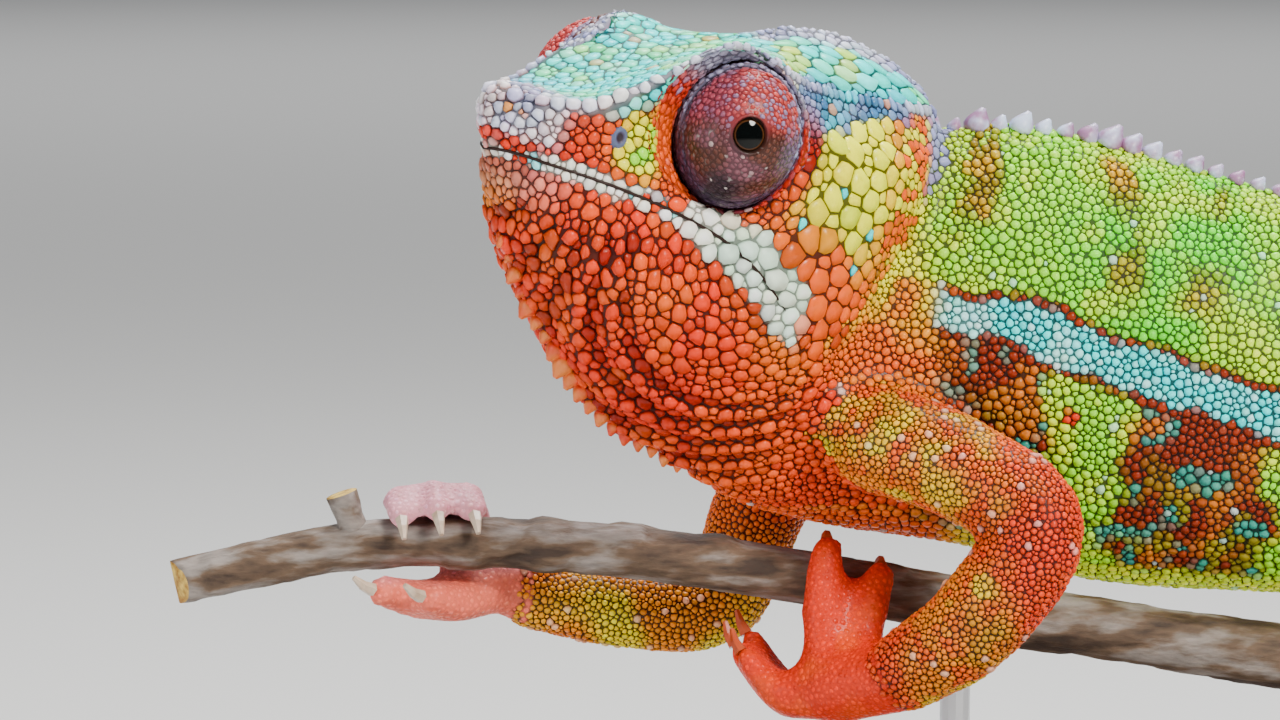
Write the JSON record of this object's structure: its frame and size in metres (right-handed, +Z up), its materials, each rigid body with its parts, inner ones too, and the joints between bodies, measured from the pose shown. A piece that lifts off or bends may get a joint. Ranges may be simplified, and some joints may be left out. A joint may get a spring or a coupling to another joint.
{
  "type": "panther chameleon model",
  "caption": "Still, life-size museum model of a male panther chameleon gripping a cut branch, tail coiled, held on a plain display stand.",
  "frame": {"origin": "middle of the stand base's underside", "axes": "+X towards the tail, -Y to the animal's left side, +Z up"},
  "size_m": [0.2575, 0.112, 0.1445],
  "materials": {
    "head_skin": "satin, turquoise and pearl grey scales with yellow cheeks",
    "throat_skin": "satin, orange red granules with a white lip band",
    "neck_skin": "satin, yellow to orange granules",
    "trunk_skin": "satin, lime green granules with rust bars and a turquoise stripe",
    "tail_skin": "satin, green with rust bands",
    "foreleg_skin": "satin, orange red granules with pale tubercles",
    "hindleg_skin": "satin, green and rust granules",
    "turret_skin": "satin, fine granules in folds",
    "eye": "wet gloss",
    "horn": "smooth horn",
    "bark": "rough grey bark with a yellow cut end",
    "stand_wood": "dark satin varnish",
    "stand_steel": "satin"
  },
  "bodies": {
    "root": {"claw_foot_left_inner_1": "horn", "claw_foot_left_inner_2": "horn", "claw_foot_left_outer_1": "horn", "claw_foot_left_outer_2": "horn", "claw_foot_left_outer_3": "horn", "claw_foot_right_inner_1": "horn", "claw_foot_right_inner_2": "horn", "claw_foot_right_outer_1": "horn", "claw_foot_right_outer_2": "horn", "claw_foot_right_outer_3": "horn", "claw_hand_left_inner_1": "horn", "claw_hand_left_inner_2": "horn", "claw_hand_left_inner_3": "horn", "claw_hand_left_outer_1": "horn", "claw_hand_left_outer_2": "horn", "claw_hand_right_inner_1": "horn", "claw_hand_right_inner_2": "horn", "claw_hand_right_outer_1": "horn", "claw_hand_right_outer_2": "horn", "claw_hand_right_outer_3": "horn", "eye_left": "eye", "eye_right": "eye", "eye_turret_left": "turret_skin", "eye_turret_right": "turret_skin", "foot_left": "hindleg_skin", "foot_left_inner_toes": "hindleg_skin", "foot_left_outer_toes": "hindleg_skin", "foot_right": "hindleg_skin", "foot_right_inner_toes": "hindleg_skin", "foot_right_outer_toes": "hindleg_skin", "forearm_left": "foreleg_skin", "forearm_right": "foreleg_skin", "hand_left": "foreleg_skin", "hand_left_inner_fingers": "foreleg_skin", "hand_left_outer_fingers": "foreleg_skin", "hand_right": "foreleg_skin", "hand_right_inner_fingers": "foreleg_skin", "hand_right_outer_fingers": "foreleg_skin", "head": "head_skin", "lower_jaw": "throat_skin", "neck": "neck_skin", "perch": "bark", "shin_left": "hindleg_skin", "shin_right": "hindleg_skin", "stand_base": "stand_wood", "stand_rod_front": "stand_steel", "stand_rod_rear": "stand_steel", "tail_1": "tail_skin", "tail_2": "tail_skin", "tail_3": "tail_skin", "tail_4": "tail_skin", "tail_5": "tail_skin", "thigh_left": "hindleg_skin", "thigh_right": "hindleg_skin", "trunk_front": "trunk_skin", "trunk_rear": "trunk_skin", "upper_arm_left": "foreleg_skin", "upper_arm_right": "foreleg_skin"}
  },
  "joints": []
}
